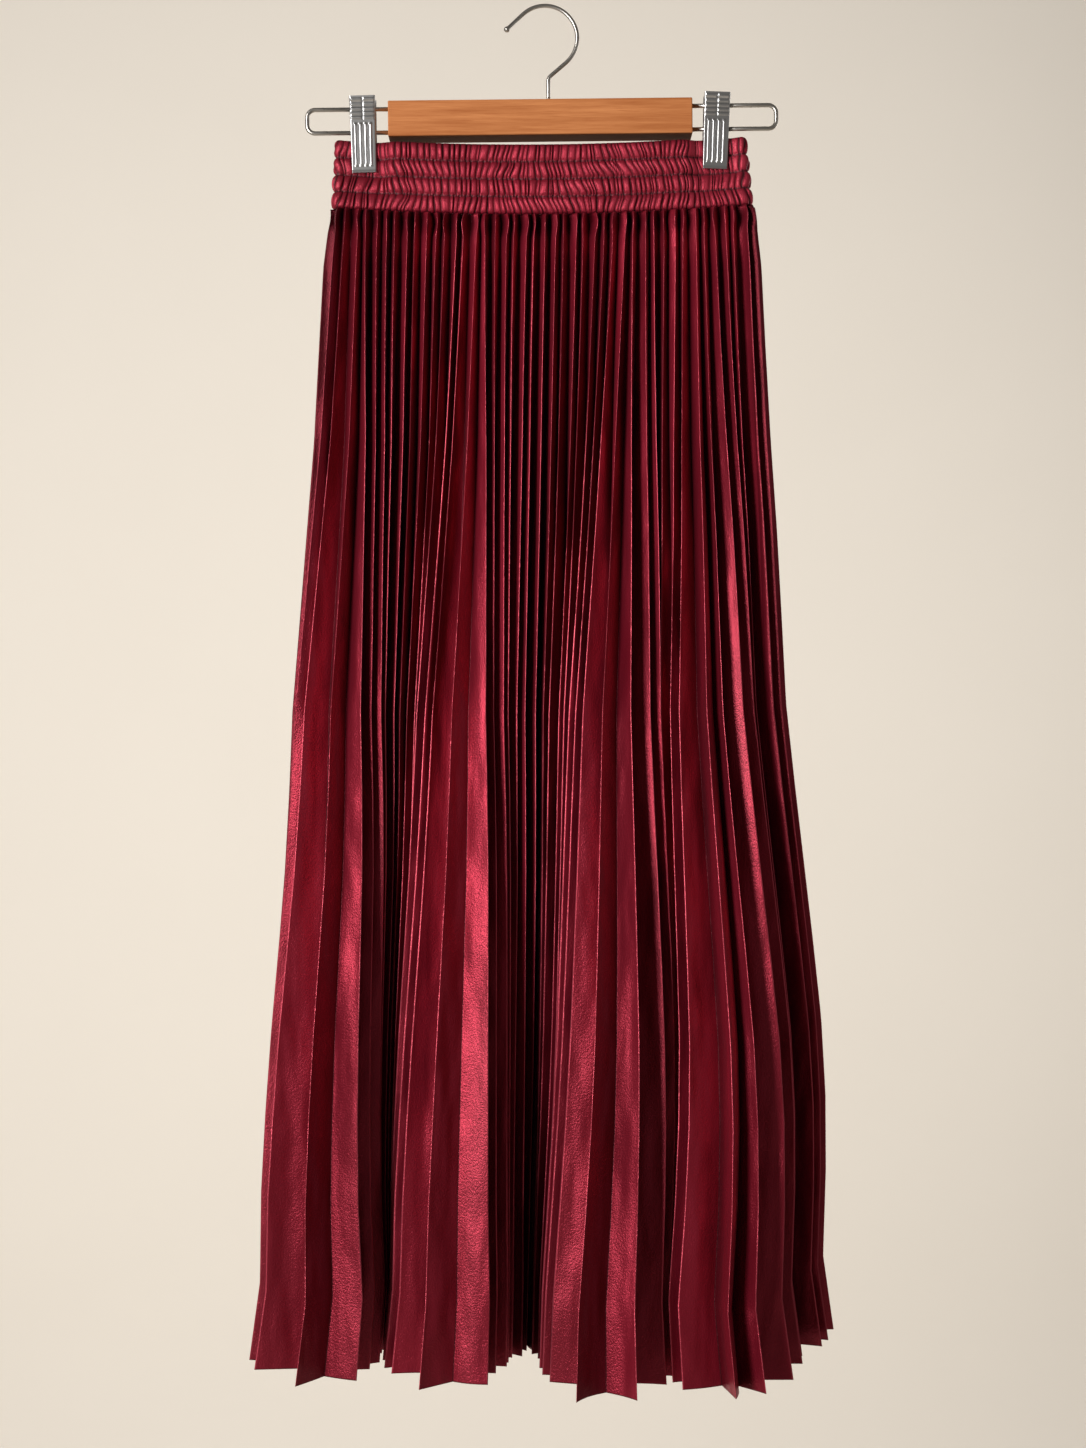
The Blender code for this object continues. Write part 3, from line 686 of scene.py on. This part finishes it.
def make_hook():
    """The hook: ball tip, round part, slant, small bend and shank."""
    centre_z = HOOK_WIRE - HOOK_RADIUS
    round_part = arc(HOOK_CENTRE_X, centre_z, HOOK_RADIUS, HOOK_START, HOOK_END, HOOK_STEPS)
    end_x, end_z = round_part[-1]
    turn = radians(HOOK_END)
    slant = (end_x - HOOK_SHANK_X - HOOK_BEND * (1.0 - cos(turn))) / -sin(turn)
    end_x += slant * sin(turn)
    end_z -= slant * cos(turn)
    bend = arc(end_x + HOOK_BEND * cos(turn), end_z + HOOK_BEND * sin(turn),
               HOOK_BEND, HOOK_END + 180.0, 180.0, TURN_STEPS)
    bar_top = BAR_CENTRE[1] + BAR_SIZE[2] / 2
    path = round_part + bend + [(HOOK_SHANK_X, bar_top - HOOK_SEAT)]
    first_x, first_z = round_part[0]
    start = radians(HOOK_START)
    ball = []
    for angle in HOOK_BALL_ROUND:
        out = HOOK_TIP_RUN + HOOK_BALL * cos(radians(angle))
        ball.append((first_x - out * sin(start), first_z + out * cos(start)))
    swell = [HOOK_BALL * sin(radians(angle)) for angle in HOOK_BALL_ROUND]
    return tube("hook_wire", ball + path, swell + [HOOK_WIRE] * len(path))


FLUTES = 4
FLUTE_PITCH = 3.9
FLUTE_HALF = 1.25
FLUTE_HEIGHT = 0.8
FLUTE_TOP = -19.5
FLUTE_FOOT = -53.0
FLUTE_RAMP = 2.0
KNURLS = 5
KNURL_TOP = -2.0
KNURL_PITCH = 3.3
KNURL_HEIGHT = 0.75
KNURL_HALF = 1.15
KNURL_SET = 0.9
KNURL_INSIDE = (0.5, 1.1)
KNURL_OUTSIDE = (-8.9, -8.3)


def smooth_step(value, low, high):
    """From 0 at the low value to 1 at the high one, with soft ends."""
    part = min(1.0, max(0.0, (value - low) / (high - low)))
    return part * part * (3.0 - 2.0 * part)


def jaw_relief(across, drop):
    """How far the pressed steel stands out at a place on a jaw."""
    relief = 0.0
    for flute in range(FLUTES):
        off = abs(across - (flute - (FLUTES - 1) / 2) * FLUTE_PITCH)
        round_top = sqrt(max(0.0, 1.0 - (off / FLUTE_HALF) ** 2))
        along = (smooth_step(-drop, -FLUTE_TOP, -FLUTE_TOP + FLUTE_RAMP)
                 * smooth_step(drop, FLUTE_FOOT, FLUTE_FOOT + FLUTE_RAMP))
        relief = max(relief, FLUTE_HEIGHT * round_top * along)
    for knurl in range(KNURLS):
        off = abs(drop - (KNURL_TOP - KNURL_SET - knurl * KNURL_PITCH))
        round_top = sqrt(max(0.0, 1.0 - (off / KNURL_HALF) ** 2))
        beside = smooth_step(abs(across), *KNURL_INSIDE) * smooth_step(-abs(across), *KNURL_OUTSIDE)
        relief = max(relief, KNURL_HEIGHT * round_top * beside)
    return relief


def make_jaw(name, side, centre, own_lean):
    """One pressed steel jaw with its flared grip, knurls, flutes and lip."""
    half = CLIP_WIDTH / 2
    columns = np.linspace(-half, half, JAW_COLUMNS)
    drops = np.linspace(0.0, -CLIP_HEIGHT, JAW_ROWS)
    outer = []
    inner = []
    for drop in drops:
        flare = JAW_FLARE * smooth_step(drop, -FLARE_HEIGHT, 0.0)
        lip = LIP * smooth_step(-drop, CLIP_HEIGHT - LIP_HEIGHT, CLIP_HEIGHT)
        narrow = 1.0 - JAW_TAPER * (-drop / CLIP_HEIGHT)
        for across in columns:
            edge = half - abs(across)
            into_edge = 1.0 - min(1.0, edge / EDGE_WIDTH)
            round_edge = EDGE_DROP * (1.0 - sqrt(max(0.0, 1.0 - into_edge ** 2)))
            inside = JAW_INSIDE + flare
            outer.append((across * narrow, side * (inside + JAW_STEEL + jaw_relief(across, drop)
                                                   + lip - round_edge), drop))
            inner.append((across * narrow, side * inside, drop))
    faces = shell_faces(len(drops), len(columns))
    piece = mesh_piece(name, outer + inner, faces)
    piece.data.set_sharp_from_angle(angle=radians(SHARP_ANGLE))
    place = LEAN @ Matrix.Translation((centre * MM, 0.0, CLIP_TOP * MM)) @ Matrix.Rotation(
        -radians(own_lean), 4, "Y")
    piece.data.transform(place)
    return piece


# Finishes

def new_material(name):
    material = bpy.data.materials.new(name)
    material.use_nodes = True
    nodes = material.node_tree.nodes
    return material, nodes, material.node_tree.links, nodes["Principled BSDF"]


def add_node(nodes, kind, **values):
    node = nodes.new(kind)
    for key, value in values.items():
        setattr(node, key, value)
    return node


def object_noise(nodes, links, stretch, scale, detail=3.0, roughness=0.5):
    place = add_node(nodes, "ShaderNodeTexCoord")
    mapping = add_node(nodes, "ShaderNodeMapping")
    mapping.inputs["Scale"].default_value = stretch
    links.new(place.outputs["Object"], mapping.inputs["Vector"])
    noise = add_node(nodes, "ShaderNodeTexNoise")
    noise.inputs["Scale"].default_value = scale
    noise.inputs["Detail"].default_value = detail
    noise.inputs["Roughness"].default_value = roughness
    links.new(mapping.outputs["Vector"], noise.inputs["Vector"])
    return noise


# Sockets of a colour mix
MIX_FACTOR = 0
MIX_FIRST = 6
MIX_SECOND = 7
MIX_RESULT = 2


def mix_colours(nodes, links, factor, first, second):
    mix = add_node(nodes, "ShaderNodeMix", data_type="RGBA")
    for place, value in ((MIX_FACTOR, factor), (MIX_FIRST, first), (MIX_SECOND, second)):
        socket = mix.inputs[place]
        if isinstance(value, (tuple, list, float, int)):
            socket.default_value = value
        else:
            links.new(value, socket)
    return mix.outputs[MIX_RESULT]


def maths(nodes, links, operation, *values):
    node = add_node(nodes, "ShaderNodeMath", operation=operation)
    for socket, value in zip(node.inputs, values):
        if isinstance(value, (float, int)):
            socket.default_value = value
        else:
            links.new(value, socket)
    return node.outputs[0]


# Noise fields: stretch, scale, detail and roughness
CLOUD = ((1.0, 1.0, 0.22), 11.0, 2.0)
RIPPLE = ((1.0, 1.0, 0.30), 30.0, 2.0, 0.45)
GRAIN = ((1.0, 1.0, 0.35), 1500.0, 2.0)
CREPE = ((1.0, 1.0, 1.3), 620.0, 2.0)
LONG_GRAIN = ((1.0, 8.0, 22.0), 9.0, 6.0, 0.65)
PORES = ((1.0, 30.0, 45.0), 40.0, 3.0, 0.6)
STEEL_MARKS = ((1.0, 1.0, 6.0), 260.0, 3.0)
STEEL_CLOUD = ((1.0, 1.0, 1.0), 60.0)
PAPER = ((1.0, 1.0, 1.0), 3.0)

# Satin: colours, then how tone, the painted highlight on crease edges, the painted shade in valleys
# and grooves, and gloss change it
SATIN_DEEP = (0.130, 0.0035, 0.011, 1.0)
SATIN_RED = (0.360, 0.017, 0.040, 1.0)
BAND_TONE = 1.2
SATIN_CREASE_HIGHLIGHT = (0.80, 0.110, 0.160, 1.0)
SATIN_PAINTED_SHADE = (0.012, 0.0004, 0.001, 1.0)
SATIN_SPECULAR_TINT = (1.0, 0.60, 0.66, 1.0)
SATIN_COAT_TINT = (1.0, 0.92, 0.93, 1.0)
SATIN_SHEEN_TINT = (1.0, 0.35, 0.45, 1.0)
TONE_SPREAD = 0.13
CREASE_HIGHLIGHT_POWER = 1.3
CREASE_HIGHLIGHT_AMOUNT = 0.85
VALLEY_SHADE_AMOUNT = 0.9
VALLEY_SHADE_MOST = 0.9
GLOSS = 0.6
GLOSS_LOST_IN_SHADE = -0.55
COAT_OF_GLOSS = 0.14
COAT_ROUGHNESS = 0.34
RIPPLE_HEIGHT = 0.018
CREPE_HEIGHT = 0.0005
CREPE_STRENGTH = 0.5
CREPE_ROUGHNESS = 0.14
SATIN_METALLIC = 0.6
SATIN_ANISOTROPY = 0.5
SHEEN_WEIGHT = 0.05
SHEEN_ROUGHNESS = 0.35
# Least roughness and strength of the ripples
PANEL_SATIN = (0.27, 0.55)
BAND_SATIN = (0.42, 0.2)


def satin_material(name, least_rough, waver):
    """Glossy satin: tinted sheen along the drop, soft ripples and a fine crepe grain, with a painted
    highlight on ridge creases and painted shade in valleys and folds.
    """
    material, nodes, links, shader = new_material(name)
    crease_light_and_shade = add_node(nodes, "ShaderNodeAttribute", attribute_name="crease_light_and_shade")
    tone = add_node(nodes, "ShaderNodeAttribute", attribute_name="tone")
    cloud = object_noise(nodes, links, *CLOUD)
    level = maths(nodes, links, "MULTIPLY_ADD", tone.outputs["Fac"], TONE_SPREAD, cloud.outputs["Fac"])
    colour = mix_colours(nodes, links, level, SATIN_DEEP, SATIN_RED)
    # Painted highlight along the ridge creases: a light pink mixed into the colour
    edge = maths(nodes, links, "MAXIMUM", crease_light_and_shade.outputs["Fac"], 0.0)
    edge = maths(nodes, links, "MULTIPLY", maths(nodes, links, "POWER", edge, CREASE_HIGHLIGHT_POWER), CREASE_HIGHLIGHT_AMOUNT)
    colour = mix_colours(nodes, links, edge, colour, SATIN_CREASE_HIGHLIGHT)
    # Painted shade in the valley creases: near-black mixed into the colour
    sunk = maths(nodes, links, "MULTIPLY", crease_light_and_shade.outputs["Fac"], -1.0)
    valley_shade = maths(nodes, links, "MULTIPLY", maths(nodes, links, "MAXIMUM", sunk, 0.0), VALLEY_SHADE_AMOUNT)
    valley_shade = maths(nodes, links, "MINIMUM", valley_shade, VALLEY_SHADE_MOST)
    colour = mix_colours(nodes, links, valley_shade, colour, SATIN_PAINTED_SHADE)
    # Painted shade from the shade numbers: deep folds, shut pleats, seam tucks, panel ends and the hem
    # edge
    shade = add_node(nodes, "ShaderNodeAttribute", attribute_name="shade")
    colour = mix_colours(nodes, links, shade.outputs["Fac"], colour, SATIN_PAINTED_SHADE)
    gloss = maths(nodes, links, "MULTIPLY_ADD", shade.outputs["Fac"], GLOSS_LOST_IN_SHADE, GLOSS)
    links.new(colour, shader.inputs["Base Color"])
    ripple = object_noise(nodes, links, *RIPPLE)
    soft = add_node(nodes, "ShaderNodeBump")
    soft.inputs["Strength"].default_value = waver
    soft.inputs["Distance"].default_value = RIPPLE_HEIGHT
    links.new(ripple.outputs["Fac"], soft.inputs["Height"])
    grain = object_noise(nodes, links, *GRAIN)
    crepe = object_noise(nodes, links, *CREPE)
    height = maths(nodes, links, "ADD", grain.outputs["Fac"], crepe.outputs["Fac"])
    fine = add_node(nodes, "ShaderNodeBump")
    fine.inputs["Strength"].default_value = CREPE_STRENGTH
    fine.inputs["Distance"].default_value = CREPE_HEIGHT
    links.new(height, fine.inputs["Height"])
    links.new(soft.outputs["Normal"], fine.inputs["Normal"])
    links.new(fine.outputs["Normal"], shader.inputs["Normal"])
    rough = maths(nodes, links, "MULTIPLY_ADD", crepe.outputs["Fac"], CREPE_ROUGHNESS, least_rough)
    links.new(rough, shader.inputs["Roughness"])
    shader.inputs["Metallic"].default_value = SATIN_METALLIC
    links.new(gloss, shader.inputs["Specular IOR Level"])
    shader.inputs["Specular Tint"].default_value = SATIN_SPECULAR_TINT
    links.new(maths(nodes, links, "MULTIPLY", gloss, COAT_OF_GLOSS), shader.inputs["Coat Weight"])
    shader.inputs["Coat Roughness"].default_value = COAT_ROUGHNESS
    shader.inputs["Coat Tint"].default_value = SATIN_COAT_TINT
    shader.inputs["Anisotropic"].default_value = SATIN_ANISOTROPY
    shader.inputs["Sheen Weight"].default_value = SHEEN_WEIGHT
    shader.inputs["Sheen Roughness"].default_value = SHEEN_ROUGHNESS
    shader.inputs["Sheen Tint"].default_value = SATIN_SHEEN_TINT
    tangent = add_node(nodes, "ShaderNodeTangent", direction_type="RADIAL", axis="Z")
    links.new(tangent.outputs["Tangent"], shader.inputs["Tangent"])
    return material


# Wood: dark and light grain, pores, painted shade on the underside, and how the grain is spread
WOOD_DARK = (0.36, 0.108, 0.030, 1.0)
WOOD_LIGHT = (0.60, 0.235, 0.085, 1.0)
WOOD_PORE = (0.33, 0.085, 0.022, 1.0)
WOOD_UNDERSIDE_SHADE = (0.05, 0.014, 0.004, 1.0)
BLACK = (0.0, 0.0, 0.0, 1.0)
WHITE = (1.0, 1.0, 1.0, 1.0)
GRAIN_CONTRAST = (2.6, -0.8)
PORE_RANGE = (0.30, 0.45)
PORE_AMOUNT = 0.6
UNDERSIDE_SHADE_AMOUNT = -0.85
WOOD_ROUGHNESS = 0.5
WOOD_SPECULAR = 0.12
PORE_STRENGTH = 0.12
PORE_HEIGHT = 0.0004


def wood_material():
    """Lacquered cherry: long grain, fine pores and painted shade on the underside."""
    material, nodes, links, shader = new_material("cherry wood")
    long_grain = object_noise(nodes, links, *LONG_GRAIN)
    pores = object_noise(nodes, links, *PORES)
    band = maths(nodes, links, "MULTIPLY_ADD", long_grain.outputs["Fac"], *GRAIN_CONTRAST)
    band = maths(nodes, links, "MINIMUM", maths(nodes, links, "MAXIMUM", band, 0.0), 1.0)
    colour = mix_colours(nodes, links, band, WOOD_DARK, WOOD_LIGHT)
    ramp = add_node(nodes, "ShaderNodeValToRGB")
    for element, place, value in zip(ramp.color_ramp.elements, PORE_RANGE, (WHITE, BLACK)):
        element.position = place
        element.color = value
    links.new(pores.outputs["Fac"], ramp.inputs["Fac"])
    streak = maths(nodes, links, "MULTIPLY", ramp.outputs["Color"], PORE_AMOUNT)
    colour = mix_colours(nodes, links, streak, colour, WOOD_PORE)
    # Painted shade on the underside: the colour darkens where the surface faces down
    facing = add_node(nodes, "ShaderNodeSeparateXYZ")
    links.new(add_node(nodes, "ShaderNodeNewGeometry").outputs["Normal"], facing.inputs[0])
    under = maths(nodes, links, "MULTIPLY", facing.outputs["Z"], UNDERSIDE_SHADE_AMOUNT)
    under = maths(nodes, links, "MAXIMUM", under, 0.0)
    colour = mix_colours(nodes, links, under, colour, WOOD_UNDERSIDE_SHADE)
    links.new(colour, shader.inputs["Base Color"])
    shader.inputs["Roughness"].default_value = WOOD_ROUGHNESS
    links.new(maths(nodes, links, "MULTIPLY_ADD", under, -WOOD_SPECULAR, WOOD_SPECULAR),
              shader.inputs["Specular IOR Level"])
    bump = add_node(nodes, "ShaderNodeBump")
    bump.inputs["Strength"].default_value = PORE_STRENGTH
    bump.inputs["Distance"].default_value = PORE_HEIGHT
    links.new(pores.outputs["Fac"], bump.inputs["Height"])
    links.new(bump.outputs["Normal"], shader.inputs["Normal"])
    return material


# Steels: colour, least and most roughness
WIRE_STEEL = ((0.48, 0.455, 0.42), 0.26, 0.30)
CLIP_STEEL = ((0.54, 0.54, 0.54), 0.29, 0.32)
STEEL_DARKER = 0.9


def steel_material(name, colour, low, high):
    """Plated steel with faint marks."""
    material, nodes, links, shader = new_material(name)
    marks = object_noise(nodes, links, *STEEL_MARKS)
    links.new(maths(nodes, links, "MULTIPLY_ADD", marks.outputs["Fac"], high - low, low),
              shader.inputs["Roughness"])
    shade = object_noise(nodes, links, *STEEL_CLOUD)
    darker = tuple(STEEL_DARKER * value for value in colour)
    links.new(mix_colours(nodes, links, shade.outputs["Fac"], darker + (1.0,), colour + (1.0,)),
              shader.inputs["Base Color"])
    shader.inputs["Metallic"].default_value = 1.0
    return material


# Studio wall: two close colours
WALL_DEEP = (0.695, 0.645, 0.575, 1.0)
WALL_PALE = (0.715, 0.665, 0.595, 1.0)
WALL_ROUGHNESS = 0.9
WALL_SPECULAR = 0.1


def plain_stage_material():
    material, nodes, links, shader = new_material("pale studio")
    paper = object_noise(nodes, links, *PAPER)
    links.new(mix_colours(nodes, links, paper.outputs["Fac"], WALL_DEEP, WALL_PALE),
              shader.inputs["Base Color"])
    shader.inputs["Roughness"].default_value = WALL_ROUGHNESS
    shader.inputs["Specular IOR Level"].default_value = WALL_SPECULAR
    return material


# Studio

FLOOR_HEIGHT = -2.6
BACKDROP_BACK = 2.7
BACKDROP_CURVE = 0.9
BACKDROP_STEPS = 12
STAGE_HALF_WIDTH = 6.0
STAGE_FRONT = -6.0
BACKDROP_TOP = 4.0
LIGHTS = (
    # name, place_m, target_m, size_m, power_w, colour
    ("key", (-1.7, -2.2, -0.05), (0.0, 0.0, -0.6), (0.6, 2.4), 98.0, (1.0, 0.985, 0.97)),
    ("fill", (2.3, -1.6, -0.2), (0.0, 0.0, -0.6), (1.6, 2.0), 3.0, (1.0, 0.97, 0.94)),
    ("back light", (2.2, 1.7, -0.2), (0.0, 0.0, -0.6), (1.2, 1.6), 14.0, (1.0, 0.98, 0.95)),
    ("wall wash", (-0.7, 0.8, -0.25), (-0.7, 2.7, -0.25), (4.4, 4.4), 62.0, (1.0, 0.985, 0.965)),
)
ROOM_COLOUR = (0.86, 0.80, 0.73, 1.0)
ROOM_STRENGTH = 0.18


def make_stage():
    """A pale wall that runs into the floor in one curve."""
    profile = [(STAGE_FRONT, FLOOR_HEIGHT), (BACKDROP_BACK - BACKDROP_CURVE, FLOOR_HEIGHT)]
    for step in range(1, BACKDROP_STEPS + 1):
        angle = radians(90.0 * step / BACKDROP_STEPS)
        profile.append((BACKDROP_BACK - BACKDROP_CURVE + BACKDROP_CURVE * sin(angle),
                        FLOOR_HEIGHT + BACKDROP_CURVE * (1.0 - cos(angle))))
    profile.append((BACKDROP_BACK, BACKDROP_TOP))
    points = [(side * STAGE_HALF_WIDTH, back, up) for back, up in profile for side in (-1, 1)]
    faces = [(2 * row, 2 * row + 1, 2 * row + 3, 2 * row + 2) for row in range(len(profile) - 1)]
    mesh = bpy.data.meshes.new("studio")
    mesh.from_pydata(points, [], faces)
    mesh.shade_smooth()
    stage = link(bpy.data.objects.new("studio", mesh))
    mesh.materials.append(plain_stage_material())


def area_light(name, place, target, size, power, colour):
    light = bpy.data.lights.new(name, "AREA")
    light.shape = "RECTANGLE"
    light.size, light.size_y = size
    light.energy = power
    light.color = colour
    item = link(bpy.data.objects.new(name, light))
    item.location = place
    item.rotation_euler = (Vector(target) - Vector(place)).to_track_quat("-Z", "Y").to_euler()
    return item


def make_studio():
    make_stage()
    for row in LIGHTS:
        area_light(*row)
    world = bpy.data.worlds.new("studio air")
    bpy.context.scene.world = world
    world.use_nodes = True
    background = world.node_tree.nodes["Background"]
    background.inputs["Color"].default_value = ROOM_COLOUR
    background.inputs["Strength"].default_value = ROOM_STRENGTH
    bpy.context.scene.view_settings.view_transform = "Standard"


def make_camera():
    data = bpy.data.cameras.new("camera")
    data.lens = CAMERA_LENS
    camera = link(bpy.data.objects.new("camera", data))
    camera.location = CAMERA_PLACE
    camera.rotation_euler = (radians(90.0), 0.0, 0.0)
    bpy.context.scene.camera = camera


def dress(piece, material, slot, *nodes):
    piece.data.materials.append(material)
    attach(piece, "root")
    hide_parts(*nodes)


def main():
    make_camera()
    satin = satin_material("satin", *PANEL_SATIN)
    front = make_panel("satin_front", FRONT_FOLDS, True, FRONT_SEED)
    back = make_panel("satin_back", BACK_FOLDS, False, BACK_SEED)
    for piece, node in ((front, "skirt_front"), (back, "skirt_back")):
        dress(piece, satin, "satin", node)
    band = make_band()
    dress(band, satin_material("gathered satin", *BAND_SATIN), "satin", "waistband")
    wire_steel = steel_material("plated wire", *WIRE_STEEL)
    clip_steel = steel_material("pressed clip steel", *CLIP_STEEL)
    dress(make_wire("wire_loop_left", -1, WIRE_ENDS[0]), wire_steel, "steel", "wire_left")
    dress(make_wire("wire_loop_right", 1, WIRE_ENDS[1]), wire_steel, "steel", "wire_right")
    dress(make_hook(), wire_steel, "steel", "hanger_hook")
    for end, centre, own_lean in CLIP_PLACES:
        for side, word in ((-1, "front"), (1, "back")):
            jaw = make_jaw(f"clip_{end}_{word}", side, centre, own_lean)
            dress(jaw, clip_steel, "clip_steel", f"clip_{end}_jaw_{word}")
    wood = wood_material()
    for name, material in (("hanger_bar", wood), ("clip_left_spring", clip_steel),
                           ("clip_right_spring", clip_steel)):
        item = bpy.data.objects[name]
        item.data.materials.clear()
        item.data.materials.append(material)
    make_studio()


main()
